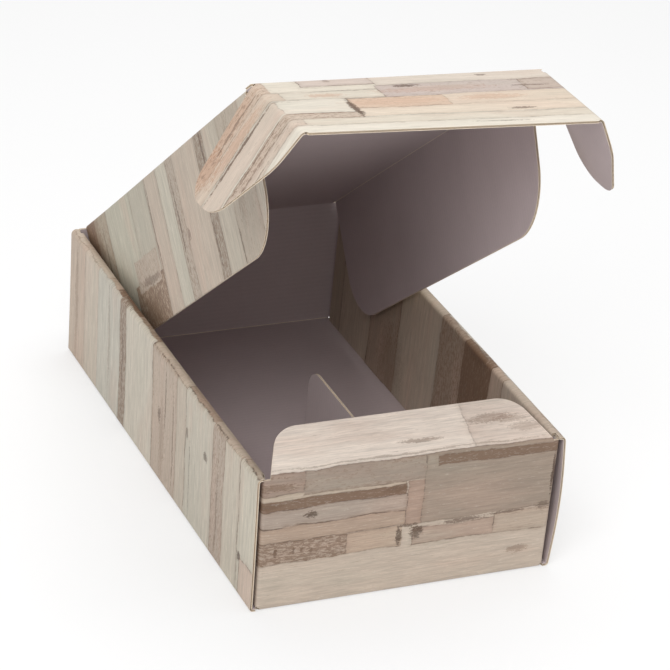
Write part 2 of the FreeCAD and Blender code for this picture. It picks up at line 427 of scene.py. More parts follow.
def flat_board(corners, creases=(), holes=()):
    """Points (x, y, depth) and faces with their finish. The plain side is up, the printed side down."""
    net, triangles = cut_panel(corners, creases, holes)
    count = len(net)
    top, low = board / 2, -board / 2
    under_top, over_low = top - skin, low + skin
    points = [np.column_stack([net, np.full(count, z)]) for z in (top, low)]
    faces = [tuple(f) for f in triangles] + [tuple(int(i) + count for i in f[::-1]) for f in triangles]
    finish = [PLAIN] * len(triangles) + [PRINTED] * len(triangles)
    loops = edge_loops(triangles)
    total = 2 * count
    for loop in loops:
        edge = net[loop]
        deep = inset(edge, open_depth)
        rings = [(edge, under_top), (deep, under_top), (deep, over_low), (edge, over_low)]
        points += [np.column_stack([ring, np.full(len(loop), z)]) for ring, z in rings]
        size = len(loop)
        rows = [loop] + [[total + k * size + i for i in range(size)] for k in range(4)]
        rows.append([i + count for i in loop])
        for upper, lower in zip(rows, rows[1:]):
            for i in range(size):
                j = (i + 1) % size
                faces.append((upper[j], upper[i], lower[i], lower[j]))
                finish.append(CUT)
        total += 4 * size
    ribbon, ribbon_faces = flute_ribbon([inset(net[loop], ribbon_depth) for loop in loops])
    points.append(ribbon)
    faces += [tuple(i + total for i in face) for face in ribbon_faces]
    finish += [FLUTE] * len(ribbon_faces)
    return np.vstack(points), faces, finish


# %% Folding and joining panels into a piece
def folded(flat, creases):
    """The points of a flat panel folded along its creases, the outermost crease first."""
    points = flat.copy()
    for crease in creases:
        points = crease.fold(points, flat)
    return points


def make_piece(name, panels, settle=None, rise=floor_mid):
    """One mesh from panels given as (flat board, creases, print of their outer side)."""
    all_points, all_flat, all_faces, all_finish = [], [], [], []
    materials = list(bare_papers)
    total = 0
    for (flat, faces, finish), creases, printed in panels:
        if printed not in materials:
            materials.append(printed)
        finish = [materials.index(printed) if kind == PRINTED else kind for kind in finish]
        points = folded(flat, creases)
        points[:, 2] += rise
        if settle is not None:
            points = settle(points, flat)
        all_points.append(points)
        all_flat.append(flat)
        all_faces += [tuple(int(i) + total for i in face) for face in faces]
        all_finish += finish
        total += len(flat)
    mesh = bpy.data.meshes.new(name)
    mesh.from_pydata(np.vstack(all_points).tolist(), [], all_faces)
    for material in materials:
        mesh.materials.append(material)
    mesh.polygons.foreach_set("material_index", np.array(all_finish, np.int32))
    smooth = np.array([kind != CUT for kind in all_finish])
    mesh.polygons.foreach_set("use_smooth", smooth)
    sheet_place = mesh.attributes.new("sheet_place", "FLOAT_VECTOR", "POINT")
    sheet_place.data.foreach_set("vector", np.vstack(all_flat).astype(np.float32).ravel())
    mark_sharp(mesh, np.array(all_finish))
    mesh.update()
    piece = bpy.data.objects.new(name, mesh)
    bpy.context.scene.collection.objects.link(piece)
    print(name, len(mesh.vertices), "points,", sum(len(f) - 2 for f in all_faces), "triangles")
    return piece


def mark_sharp(mesh, finish):
    """Sharp edges wherever two finishes meet, so that each skin is shaded by itself."""
    loop_edges = np.zeros(len(mesh.loops), np.int32)
    mesh.loops.foreach_get("edge_index", loop_edges)
    sizes = np.zeros(len(mesh.polygons), np.int32)
    mesh.polygons.foreach_get("loop_total", sizes)
    kinds = np.repeat(finish, sizes)
    low = np.full(len(mesh.edges), 99)
    high = np.full(len(mesh.edges), -1)
    np.minimum.at(low, loop_edges, kinds)
    np.maximum.at(high, loop_edges, kinds)
    mesh.attributes.new("sharp_edge", "BOOLEAN", "EDGE").data.foreach_set("value", low != high)


# %% [markdown]
# ## Finishes
#
# The outside of the sheet is printed with whitewashed, worn planks, and the inside is the bare liner. A
# material for this is mostly arithmetic on places: how far a point lies from a plank's edge, how deep into
# a streak of grain it is. In Blender each step of such a sum is a node. To keep the sums readable, the
# class below lets Python write them: `1 - mask` on two sockets adds the Math node and links it.


# %% Sums on sockets
class Shade:
    """A socket of a material. Python's signs between two, or with a number, add the node for the sum."""

    def __init__(self, painter, socket):
        self.painter, self.socket = painter, socket

    def combine(self, operation, first, second):
        kinds = {item.socket.type for item in (first, second) if isinstance(item, Shade)}
        if "RGBA" in kinds:
            return self.painter.node("Mix", {"data_type": "RGBA", "blend_type": operation},
                                     {0: 1.0, 6: first, 7: second}, 2)
        if "VECTOR" in kinds:
            return self.painter.node("VectorMath", {"operation": operation}, {0: first, 1: second})
        return self.painter.node("Math", {"operation": operation}, {0: first, 1: second})

    def __add__(self, other):
        return self.combine("ADD", self, other)

    def __radd__(self, other):
        return self.combine("ADD", other, self)

    def __sub__(self, other):
        return self.combine("SUBTRACT", self, other)

    def __rsub__(self, other):
        return self.combine("SUBTRACT", other, self)

    def __mul__(self, other):
        return self.combine("MULTIPLY", self, other)

    def __rmul__(self, other):
        return self.combine("MULTIPLY", other, self)

    def __truediv__(self, other):
        return self.combine("DIVIDE", self, other)

    def least(self, other):
        return self.combine("MINIMUM", self, other)

    def most(self, other):
        return self.combine("MAXIMUM", self, other)

    def size(self):
        return self.painter.node("Math", {"operation": "ABSOLUTE"}, {0: self})

    def held(self):
        """The value, kept between 0 and 1."""
        return self.painter.node("Math", {"operation": "ADD", "use_clamp": True}, {0: self, 1: 0.0})

    def step(self, low, high):
        """0 below low, 1 above high, and a smooth climb between them."""
        return self.painter.node("MapRange", {"interpolation_type": "SMOOTHSTEP"}, {0: self, 1: low, 2: high})

    def towards(self, other, share):
        """This colour or value mixed with another."""
        if self.socket.type == "RGBA":
            return self.painter.node("Mix", {"data_type": "RGBA"}, {0: share, 6: self, 7: other}, 2)
        return self.painter.node("Mix", {}, {0: share, 2: self, 3: other})


bump_reach = 0.12 * MM      # how high the bumps of paper and print stand


class Painter:
    """One material, with a method that adds any node."""

    def __init__(self, name):
        self.material = bpy.data.materials.new(name)
        self.material.use_nodes = True
        self.tree = self.material.node_tree
        self.shader = self.tree.nodes["Principled BSDF"]

    def node(self, kind, settings=None, values=None, out=0):
        """Adds a node: its type, then its settings, then the values or links of its sockets."""
        made = self.tree.nodes.new("ShaderNode" + kind)
        for name, value in (settings or {}).items():
            setattr(made, name, value)
        for name, value in (values or {}).items():
            self.feed(made.inputs[name], value)
        return Shade(self, made.outputs[out])

    def feed(self, socket, value):
        if isinstance(value, Shade):
            self.tree.links.new(value.socket, socket)
        elif socket.type == "RGBA":
            socket.default_value = (*value, 1.0) if isinstance(value, tuple) else (value, value, value, 1.0)
        else:
            socket.default_value = value

    def plain(self, colour):
        """One colour as a socket, for sums to start from."""
        return self.node("Mix", {"data_type": "RGBA"}, {0: 0.0, 6: colour, 7: colour}, 2)

    def sheet_place(self):
        """The flat sheet's own x, y and depth at each point, in millimetres."""
        place = self.node("Attribute", {"attribute_name": "sheet_place"}, out=1)
        return [self.node("SeparateXYZ", {}, {0: place}, out) * 1000 for out in range(3)]

    def flute_ridges(self, y):
        """A wave between -1 and 1 in step with the flutes."""
        return self.node("Math", {"operation": "SINE"}, {0: y * (2 * math.pi * MM / flute_pitch)})

    def finish(self, colour, roughness, height=None):
        self.feed(self.shader.inputs["Base Color"], colour)
        self.feed(self.shader.inputs["Roughness"], roughness)
        if height is not None:
            bump = self.node("Bump", {}, {"Height": height, "Distance": bump_reach})
            self.feed(self.shader.inputs["Normal"], bump)
        print(self.material.name, "has", len(self.tree.nodes), "nodes")
        return self.material


# %% Colours by their look on screen
def tone(red, green, blue):
    """A colour given as it looks on screen, 0 to 255, turned into the amounts that a shader wants."""
    return tuple((part / 255) ** 2.2 for part in (red, green, blue))


bark = tone(84, 64, 50)             # deep seams and knots
umber = tone(116, 90, 70)           # worn wood under the paint, and painted contact shadow on the lid's left dust flap
rust = tone(176, 124, 92)           # warm stains
blush = tone(196, 164, 146)         # pinkish clouds in the paint
sage = tone(168, 166, 150)          # greenish clouds in the paint
chalk = tone(240, 232, 220)         # fresh flakes of paint

# %% [markdown]
# ### Planks
#
# Every panel has its own list of planks. A plank is a rectangle on the flat sheet, and lies over those
# before it in the list, so a list starts with the long rows and ends with what interrupts them. Each row of
# a list says where the plank starts and ends along its grain and across it, in millimetres, its tone, how
# worn its paint is, and how dark the seam round it is. Knots and stains come in a second list: place, half
# lengths, and strength. On the lid's left dust flap a few rows and spots are also painted contact shadow.


# %% Laying planks
layer_step = 3.7        # how far apart two layers of noise lie, so that they don't look alike


class PlankPrint(Painter):
    """A printed finish on the flat sheet's own places: `along` the grain and `across` it, in millimetres."""

    def __init__(self, name, start, direction, mirror=False, seed=0.0):
        super().__init__(name)
        self.x, self.y = self.sheet_place()[:2]
        self.seed = seed
        if mirror:
            outward = self.x.size()
            side = self.node("Math", {"operation": "SIGN"}, {0: self.x})
            self.along, self.across = outward - start, self.y * side * direction
        else:
            self.along, self.across = self.x, (self.y * direction) - start
        drift = self.noise(38, 11, 2, 0.5, 1) - 0.5
        jitter = self.noise(5, 2.2, 2, 0.6, 2) - 0.5
        self.warped_across = self.across + drift * 4.6 + jitter * 1.5
        self.warped_along = self.along + drift * 3.0 + (self.noise(1.6, 4, 2, 0.6, 3) - 0.5) * 2.2
        self.flakes = self.noise(3.4, 1.15, 4, 0.66, 4)
        self.ragged = self.flakes - 0.5
        self.grit = self.noise(1.5, 1.0, 3, 0.75, 10)

    def noise(self, length, width, detail, roughness, layer):
        """Noise with patches about so long along the grain and so wide across it, in millimetres."""
        spot = {0: self.along / length, 1: self.across / width, 2: self.seed + layer_step * layer}
        return self.node("TexNoise", {}, {"Vector": self.node("CombineXYZ", {}, spot), "Scale": 1.0,
                                          "Detail": detail, "Roughness": roughness})

    def lay(self, planks):
        """Lays planks over each other. The first in the list covers the whole panel."""
        self.colour = self.plain(tone(*planks[0][4]))
        self.wear, self.seam, self.near_seam = planks[0][5] + self.ragged * 0.0, 0.0, 0.0
        for start, end, low, high, look, wear, seam in planks[1:]:
            ends = (self.warped_along - start).least(end - self.warped_along)
            inside = ends.least((self.warped_across - low).least(high - self.warped_across))
            mask = (inside * 3.0 + 0.5).held()
            self.colour = self.colour.towards(tone(*look), mask)
            self.wear = self.wear.towards(wear, mask)
            line = (1 - inside.size() * 1.7).held() * seam
            beside = (1 - inside.size() * 0.3).held() * seam
            self.seam = (self.seam * (1 - mask)).most(line)
            self.near_seam = (self.near_seam * (1 - mask)).most(beside)

    def stain_and_shade(self, spots, colour):
        """Ragged oval spots of a colour, each (along, across, half length, half width, strength): knots,
        stains, and in the lid's list also painted contact shadow.
        """
        for along, across, length, width, strength in spots:
            u, v = (self.warped_along - along) / length, (self.warped_across - across) / width
            depth = 1.15 - u * u - v * v + self.ragged * 3.4 + (self.grit - 0.5) * 3.0
            self.colour = self.colour.towards(colour, depth.step(0.0, 0.8) * strength)

    def weather(self, contrast=1.0):
        """Clouds of tint, grain, flakes, worn wood, dark fibres and broken seams, one over the other."""
        clouds = self.noise(70, 16, 3, 0.55, 5)
        wide = self.noise(44, 2.6, 4, 0.62, 6)
        fine = self.noise(15, 0.95, 4, 0.68, 7)
        hair = self.noise(11, 0.7, 3, 0.7, 9)
        colour = self.colour.towards(blush, clouds.step(0.5, 0.72) * 0.22)
        colour = colour.towards(sage, (1 - clouds).step(0.52, 0.74) * 0.22)
        colour = colour * (1 + (wide - 0.5) * 0.5 * contrast + (fine - 0.5) * 0.7 * contrast)
        flaking = (fine * 0.4 + self.flakes * 0.6).step(0.55, 0.68)
        colour = colour.towards(chalk, flaking * (0.3 + self.wear * 0.25))
        worn = self.flakes * 0.45 + fine * 0.3 + self.grit * 0.15 + wide * 0.1 + self.wear * 0.22
        patches = worn.step(0.62, 0.68) * (0.25 + self.wear * 0.8).held()
        colour = colour.towards(umber, patches * 0.85)
        rubbed = self.near_seam * (self.flakes * 0.5 + wide * 0.5).step(0.4, 0.6)
        colour = colour.towards(umber, rubbed * 0.42)
        fibres = hair.step(0.6, 0.7) * (0.3 + wide.step(0.45, 0.62) * 0.5) * contrast
        specks = self.grit.step(0.63, 0.74) * (0.22 + self.wear * 0.5)
        colour = colour.towards(umber, (fibres + specks).held() * 0.6)
        broken = self.noise(14, 3, 3, 0.7, 8).step(0.38, 0.58)
        crack = (self.seam * (0.16 + broken + (self.grit - 0.5) * 1.2)).held()
        colour = colour.towards(bark, crack * 0.86)
        height = self.flute_ridges(self.y) * 0.12 + fine * 0.1 - crack * 0.1
        return self.finish(colour, 0.52 + self.flakes * 0.14, height)


# %% Planks on the front wall and its lip
front_planks = [
    (-200, 200, -90, 29, (192, 176, 160), 0.2, 0.0),
    (-200, -38, 29, 44, (172, 154, 138), 0.75, 0.5),
    (-38, -4, 29, 43.5, (180, 158, 139), 0.3, 0.4),
    (-200, -2, 44, 54, (172, 150, 132), 0.25, 0.8),
    (-200, -2, 54, 65, (166, 150, 137), 0.3, 1.0),
    (-200, -3, 65, 71.5, (146, 126, 112), 0.9, 0.6),
    (-200, -4, 71.5, 75.5, (186, 168, 150), 0.25, 0.5),
    (-200, -67, 75.5, 88, (156, 134, 120), 0.5, 0.6),
    (-67, 15, 73.5, 88, (156, 139, 125), 0.45, 0.6),
    (8, 200, 43, 88, (153, 137, 122), 0.3, 0.6),
    (15, 200, 79.5, 86, (140, 122, 108), 0.85, 0.3),
    (-2, 8, 43, 73, (164, 140, 124), 0.25, 0.6),
    (3, 55, 29, 40, (174, 152, 136), 0.3, 0.7),
    (55, 200, 29, 42, (178, 160, 143), 0.3, 0.7),
    (-200, 39, 88, 140, (222, 209, 196), 0.05, 0.4),
    (39, 200, 88, 140, (208, 193, 180), 0.25, 0.4),
]
front_knots = [(-62, 59.5, 4.5, 2.4, 0.9), (-10, 68.5, 8, 2.2, 0.9), (-88, 68.5, 9, 2.2, 0.8),
               (-82, 37, 1.3, 2.8, 0.9), (-71, 37, 1.1, 2.4, 0.8), (-66, 38, 1.0, 2.0, 0.7),
               (-60, 36, 1.2, 2.2, 0.7), (-6, 36, 2.0, 7, 0.9), (5, 37, 4.6, 4.6, 0.9),
               (0, 43, 6, 1.4, 0.7), (89.5, 64, 0.9, 15, 0.9), (86, 43, 5, 3.4, 0.5),
               (35, 41.5, 14, 1.4, 0.7), (62, 42, 12, 1.1, 0.6)]
front_worn = [(54, 106, 16, 3.4, 0.45), (66, 104, 12, 3.0, 0.3), (7, 98, 14, 1.8, 0.5), (72, 15, 8, 3, 0.5),
              (-82, 80, 14, 2, 0.6), (0, 90, 90, 0.7, 0.4), (75, 98, 12, 3, 0.35)]

# %% Planks on the sides
side_planks = [
    (-120, 400, -220, 220, (184, 170, 152), 0.3, 0.0),
    (80, 400, -220, -141, (176, 160, 142), 0.3, 0.6),
    (80, 400, -141, -96, (184, 168, 150), 0.2, 0.8),
    (80, 400, -96, -53, (168, 148, 130), 0.45, 0.8),
    (80, 400, -53, 4, (186, 170, 152), 0.2, 0.7),
    (80, 400, 4, 38, (162, 142, 124), 0.6, 0.6),
    (80, 400, 38, 75, (140, 120, 102), 0.9, 0.6),
    (80, 400, 75, 92, (178, 158, 140), 0.3, 0.9),
    (80, 400, 92, 220, (188, 172, 155), 0.2, 0.9),
    (-120, 87, 133, 220, (186, 168, 151), 0.2, 0.5),
    (-120, 87, 108, 133, (192, 178, 162), 0.1, 0.4),
    (-120, 87, 66, 108, (186, 180, 167), 0.12, 0.3),
    (-120, 89, 54, 66, (166, 152, 137), 0.7, 0.4),
    (-120, 88, 5, 54, (194, 185, 170), 0.1, 0.5),
    (-120, 86, -37, 5, (180, 163, 147), 0.4, 0.9),
    (-120, 86, -52, -37, (186, 174, 158), 0.3, 0.4),
    (-120, 87, -96, -52, (188, 180, 165), 0.12, 0.8),
    (-120, 87, -115, -96, (174, 158, 143), 0.5, 0.8),
    (-120, 86, -139, -115, (190, 180, 164), 0.12, 0.4),
    (-120, 87, -220, -139, (194, 186, 170), 0.12, 1.0),
    (-120, 25, -220, -143, (194, 174, 158), 0.2, 0.8),
]
side_knots = [(45, -7, 6, 2.6, 0.7), (58, -54, 4, 2.4, 0.6), (58, -85, 3.2, 3.2, 0.7),
              (25, -142, 3.6, 2.4, 0.9), (60, -18, 26, 0.9, 0.6), (40, -31, 34, 1.1, 0.5),
              (42, 60, 40, 1.3, 0.5), (30, -60, 30, 0.8, 0.5), (30, -104, 40, 1.2, 0.5),
              (92, 56, 6, 14, 0.6)]
side_worn = [(40, 150, 50, 3, 0.35), (50, 86, 40, 2, 0.3), (30, -12, 30, 5, 0.3), (160, -60, 30, 20, 0.35),
             (140, 60, 30, 12, 0.35)]

# %% Planks on the back wall, the lid and its dust flaps
lid_planks = [
    (-300, 300, -120, 345, (180, 169, 153), 0.15, 0.0),
    (-300, 300, -95, -58, (190, 176, 160), 0.15, 0.4),
    (-300, 34, -58, -31, (176, 162, 146), 0.4, 0.8),
    (34, 300, -58, -31, (190, 180, 165), 0.1, 0.8),
    (-300, 300, -31, 2, (184, 172, 156), 0.2, 0.7),
    # Across 2 to 44, next to the lid's hinge, these two rows are brown tone, and on the left dust flap also
    # painted contact shadow where the flap meets the tray's top edge.
    (-300, 300, 2, 20, (140, 118, 98), 0.8, 0.3),
    (-300, 300, 20, 44, (164, 150, 131), 0.5, 0.3),
    (-300, 300, 44, 93, (178, 172, 155), 0.1, 0.7),
    (12, 300, 44, 78, (190, 178, 162), 0.2, 0.8),
    (-300, 300, 93, 125, (176, 168, 152), 0.15, 0.4),
    (-300, -30, 125, 148, (183, 168, 152), 0.3, 0.8),
    (-30, 300, 125, 148, (178, 160, 144), 0.4, 0.9),
    (-300, 300, 148, 168, (188, 180, 164), 0.1, 0.5),
    (-300, 300, 168, 181, (176, 162, 147), 0.55, 0.6),
    (-300, 48, 181, 222, (184, 169, 153), 0.15, 0.6),
    (48, 300, 181, 222, (192, 182, 166), 0.1, 0.8),
    (-300, 300, 222, 236, (170, 158, 143), 0.7, 0.5),
    (-300, 300, 236, 262, (182, 171, 155), 0.2, 0.6),
    (-52, 300, 236, 262, (190, 172, 156), 0.25, 0.9),
    (-300, 300, 262, 300, (176, 163, 147), 0.4, 0.7),
    (-300, 300, 300, 345, (190, 180, 164), 0.15, 0.6),
    (-300, -143, 72, 126, (176, 158, 138), 0.8, 0.6),
    (-148, -128, 78, 122, (178, 163, 147), 0.5, 0.12),
]
lid_knots = [(-100, 14, 40, 1.3, 0.7), (-120, 34, 30, 1.0, 0.5), (-144, 104, 3, 20, 0.5),
             (-120, 127, 34, 0.9, 0.7), (-125, 172, 30, 1.0, 0.7), (-95, 232, 18, 1.2, 0.8),
             (-150, 224, 20, 1.1, 0.6), (-135, 183, 4, 2, 0.7), (-160, 262, 14, 1.0, 0.6),
             (30, 64, 7, 3, 0.8), (-20, 205, 9, 3.4, 0.8), (60, 282, 6, 3, 0.8), (-60, 280, 30, 1.2, 0.6),
             (-24, -44, 7, 3, 0.8)]
# The first and third spots, on the left dust flap next to the lid's hinge, are brown tone and painted contact
# shadow where the flap meets the tray's top edge. The others are wear.
lid_worn_and_shade = [(-115, 12, 60, 9, 0.55), (-165, 100, 20, 22, 0.45), (-110, 22, 40, 8, 0.4),
            (0, 110, 60, 6, 0.3), (40, 200, 40, 8, 0.3), (-120, 275, 30, 8, 0.3)]

# %% Planks on the tuck flap and its ears
tuck_planks = [
    (-300, 300, -60, 120, (208, 199, 184), 0.08, 0.0),
    (-300, 300, -40, 17, (206, 197, 182), 0.08, 0.4),
    (-64, -20, -9, 9, (192, 178, 168), 0.2, 0.9),
    (-20, 300, -9, 12, (200, 188, 175), 0.2, 0.4),
    (-22, 300, 12, 29, (184, 170, 162), 0.4, 0.6),
    (-300, -22, 17, 28, (202, 193, 178), 0.12, 0.7),
    (-300, -84, -9, 17, (194, 174, 156), 0.5, 0.2),
    (-300, -80, 17, 29, (198, 181, 164), 0.35, 0.5),
    (-300, -46, 28, 48, (208, 200, 186), 0.08, 0.6),
    (-300, -88, 29, 46, (199, 183, 168), 0.3, 0.4),
    (-46, 300, 29, 44, (200, 176, 155), 0.35, 0.8),
    (12, 300, 29, 48, (204, 188, 170), 0.3, 0.3),
    (-46, 300, 44, 56, (208, 193, 175), 0.15, 0.4),
    (-300, -46, 48, 57, (190, 174, 158), 0.55, 0.9),
    (-300, 300, 57, 66, (204, 194, 178), 0.15, 0.5),
    (-300, -82, 57, 66, (196, 181, 166), 0.4, 0.5),
    (-300, 300, 66, 100, (212, 204, 190), 0.06, 0.5),
    (66, 300, 12, 27, (180, 164, 152), 0.4, 0.8),
]
tuck_knots = [(-46, 43, 2.4, 13, 0.9), (-4, 14.5, 8, 1.8, 0.8), (-46, 1.5, 2.2, 2.2, 0.5),
              (50, 53, 9, 1.6, 0.7), (-118, 30, 34, 1.0, 0.8), (-112, 12, 30, 0.9, 0.5),
              (-120, 50, 26, 0.9, 0.7), (-122, 56, 26, 0.8, 0.6), (70, 21, 12, 1.0, 0.6),
              (48, 4, 4, 1.4, 0.6), (30, 70, 20, 0.8, 0.5), (-128, 62, 16, 0.8, 0.5)]
tuck_warm = [(-112, 8, 24, 7, 0.3), (-140, 11, 15, 11, 0.38), (-118, 23, 28, 5, 0.35),
             (-20, 36, 34, 6, 0.2), (-55, 23, 12, 3, 0.4), (40, 36, 22, 4, 0.35), (10, 20, 40, 4, 0.25)]
print(len(front_planks), len(side_planks), len(lid_planks), len(tuck_planks), "planks in the four lists")


# %% The four prints
def plank_print(name, planks, dark, worn, stain_and_shade_colour, contrast=1.0, **place):
    work = PlankPrint(name, **place)
    work.lay(planks)
    # The worn spots are wear, and in the lid's list some of them are also painted contact shadow.
    work.stain_and_shade(worn, stain_and_shade_colour)
    work.stain_and_shade(dark, bark)
    return work.weather(contrast)


side_print_start = 2        # how far inside the outer edge the side planks are counted from
front_print = plank_print("printed_planks_front", front_planks, front_knots, front_worn, umber,
                          start=wall_start / MM, direction=-1, seed=1.0)
side_print = plank_print("printed_planks_sides", side_planks, side_knots, side_worn, umber,
                         start=half_width / MM - side_print_start, direction=-1, mirror=True, seed=2.0)
# The lid's print also holds painted contact shadow on its left dust flap, next to the hinge.
lid_print_and_shade = plank_print("printed_planks_lid_and_shade", lid_planks, lid_knots, lid_worn_and_shade, umber,
                        start=lid_start / MM, direction=1, seed=3.0)
tuck_print = plank_print("printed_planks_tuck", tuck_planks, tuck_knots, tuck_warm, rust, 0.7,
                         start=tuck_start / MM, direction=1, seed=4.0)

# %% [markdown]
# ### Bare paper
#
# The liner is uncoated kraft pulp, tinted grey. It has a faint washboard where it hangs between the flutes,
# a few darker fibres, and soft clouds. The cut edge and the wavy paper inside are rawer and browner.


# %% Liner, cut edge and flute paper
def paper(name, colour, mottle, washboard, roughness):
    """Bare paper with clouds and fibres of strength mottle, and the flutes showing through by washboard."""
    work = Painter(name)
    x, y, depth = work.sheet_place()

    def noise(length, width, detail, layer):
        spot = work.node("CombineXYZ", {}, {0: x / length, 1: y / width, 2: depth / 0.3 + layer})
        return work.node("TexNoise", {}, {"Vector": spot, "Scale": 1.0, "Detail": detail, "Roughness": 0.6})

    ridges = work.flute_ridges(y)
    clouds, fibres = noise(40, 30, 3, 0), noise(1.6, 0.5, 3, 5)
    shade = 1 + (clouds - 0.5) * mottle + (fibres - 0.5) * mottle + ridges * washboard
    darker = noise(3, 0.35, 2, 9).step(0.66, 0.74) * 0.22
    look = (work.plain(colour) * shade).towards(umber, darker)
    height = ridges * (washboard * 6) + fibres * 0.12
    return work.finish(look, roughness + fibres * 0.1, height)


plain_liner = paper("plain_liner", tone(188, 174, 174), 0.14, 0.016, 0.72)
cut_edge = paper("cut_paper", tone(226, 212, 194), 0.4, 0.0, 0.85)
flute_wave = paper("flute_paper", tone(212, 194, 170), 0.4, 0.0, 0.85)
bare_papers = [plain_liner, cut_edge, flute_wave]

# %% [markdown]
# ## The tray
#
# The floor and the two rolled side walls are one long strip across the box. The front and back walls close
# its ends, and their corner flaps are shut inside the rolled walls.

# %% Strip of floor and side walls
notch_length, notch_reach = 6 * MM, 3.4 * MM
wall_end = half_length
floor_end = front[0].start
foot = board + ply_gap      # the inner ply stands on the floor here
tab_length, tab_place, tab_fit = 30 * MM, 82 * MM, 0.25 * MM
tab_drop = foot - 0.3 * MM      # a tab ends just above the box's underside
corner_reach = corner_mid + board / 2
inner_end = sides[1][2].end + (box_height - board / 2 - sharp) - foot
notch_x = sides[1][2].end - sharp + (board / 2 + sharp - notch_reach)


def strip_side(side):
    """The outline of one side of the strip, from its front to its back, as (x, y) corners."""
    ends = [(corner_reach, -floor_end), (corner_reach, -wall_end), (notch_x, -wall_end),
            (notch_x, -wall_end + notch_length), (inner_end, -wall_end + notch_length)]
    for place in (-tab_place, tab_place):
        low, high = place - tab_length / 2, place + tab_length / 2
        ends += [(inner_end, low), (inner_end + tab_drop, low, MM), (inner_end + tab_drop, high, MM),
                 (inner_end, high)]
    ends += [(inner_end, wall_end - notch_length), (notch_x, wall_end - notch_length),
             (notch_x, wall_end), (corner_reach, wall_end), (corner_reach, floor_end)]
    return [(side * corner[0],) + corner[1:] for corner in ends]


def tab_slot(side, place):
    """The slot in the floor for a lock tab."""
    near, far = inner_mid - board / 2 - tab_fit, inner_mid + board / 2 + tab_fit
    low, high = place - tab_length / 2 - tab_fit, place + tab_length / 2 + tab_fit
    corners = [(near, low), (far, low), (far, high), (near, high)]
    return [(side * x, y) for x, y in corners]


strip_outline = strip_side(1) + strip_side(-1)[::-1]
strip_creases = [sides[side][i] for side in (-1, 1) for i in (2, 1, 0)]
slots = [tab_slot(side, place) for side in (-1, 1) for place in (-tab_place, tab_place)]
strip = flat_board(strip_outline, strip_creases, slots)

# %% Front and back walls with their corner flaps
corner_turn = {side: Crease(corner_mid - sharp, (side, 0), quarter, sharp) for side in (-1, 1)}
flap_end = corner_turn[1].end + 75 * MM - sharp
flap_taper = 9 * MM
flap_low = front[0].end
flap_gap = 1.8 * MM


def end_wall(direction, top, crease):
    """A front or back wall with its two corner flaps, flat."""
    flap_top = flap_low + (box_height - flap_gap) - (floor_mid + sharp)
    fold_x = corner_turn[1].start
    half = [(fold_x, floor_end), (fold_x, flap_low), (flap_end, flap_low + flap_taper, 2 * MM),
            (flap_end, flap_top - flap_taper, 2 * MM), (corner_turn[1].end + MM, flap_top),
            (corner_turn[1].end, top)]
    corners = half + [(-corner[0],) + corner[1:] for corner in half[::-1]]
    corners = [(corner[0], direction * corner[1]) + corner[2:] for corner in corners]
    creases = [corner_turn[-1], corner_turn[1], crease]
    return flat_board(corners, creases), creases


front_wall = end_wall(-1, front[1].start, front[0])
back_wall = end_wall(1, back[1].start, back[0])


# %% How the folded tray has relaxed
def smooth_step(x):
    x = np.clip(x, 0, 1)
    return x * x * (3 - 2 * x)


lean_left, lean_right = 2.4 * MM, 1.9 * MM      # the side walls lean out at the top
gape = 2.6 * MM                                 # the right wall's front end stands off the front wall


def relax_tray(points, flat):
    """Small real-life movements of the walls: they lean and bow a little, as folded board does."""
    moved = points.copy()
    height = np.clip(points[:, 2] / box_height, 0, 1)
    middle = 0.6 + 0.4 * np.cos(np.pi * np.clip(points[:, 1] / (2 * half_length), -1, 1))
    edge = smooth_step((np.abs(points[:, 0]) - 0.7 * half_width) / (0.22 * half_width))
    lean = np.where(points[:, 0] < 0, -lean_left, lean_right)
    moved[:, 0] += lean * height ** 1.4 * middle * edge
    outer_wall = (flat[:, 0] > sides[1][0].start) & (flat[:, 0] < sides[1][1].end)
    outer = outer_wall & (np.abs(flat[:, 1]) <= wall_end)
    near_front = np.exp(-((points[:, 1] + half_length) / (60 * MM)) ** 2)
    moved[:, 0] += outer * gape * np.sin(np.pi * height) * near_front
    return moved


tray_panels = [(strip, strip_creases, side_print), (*front_wall, front_print), (*back_wall, lid_print_and_shade)]
tray_sheet = make_piece("tray_sheet", tray_panels, relax_tray)
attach(tray_sheet, "tray")
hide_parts("tray")

# %% Folds and creases of the lid's panels
lid_folds = [back[1], back[0]]
tuck_folds = [back[2], back[1], back[0]]
dust_root = 1.0 * MM
dust_turn = quarter + dust_tilt
dust_reach = dust_root * math.tan(dust_turn / 2)
corner_out = board / 2 * (math.cos(dust_tilt) + (1 + math.sin(dust_tilt)) * math.tan(dust_tilt))
dust_corner = dust_hinge.x + corner_out         # where the middles of lid and flap would meet
dust_crease = {side: Crease(dust_corner - dust_reach, (side, 0), dust_turn, dust_root) for side in (-1, 1)}
lid_side = dust_crease[1].start
dust_depth = 84.5 * MM
dust_end = dust_crease[1].end + dust_depth + board / 2 - dust_reach
ear_root = 3.5 * MM         # the short crease of an ear bends softly
ear_crease = {side: Crease(front_half - ear_root * math.tan(ear_fold[side] / 2), (side, 0), ear_fold[side],
                           ear_root) for side in (-1, 1)}
ear_depth, tuck_depth = 68 * MM, 76 * MM


def lid_at(distance):
    """A place on the flat sheet, from its distance to the lid's hinge."""
    return lid_start + distance


# %% [markdown]
# ### The lid
#
# The lid is one panel on the back wall's top edge, and a little wider at its front, because its ears go
# down outside the inner side walls. It could be a plain slab turned to its place, but a flat panel folded
# along two creases keeps the print running up from the back wall. An open lid is held along one edge only,
# so it twists a little. That comes last, as a small move of all its points.

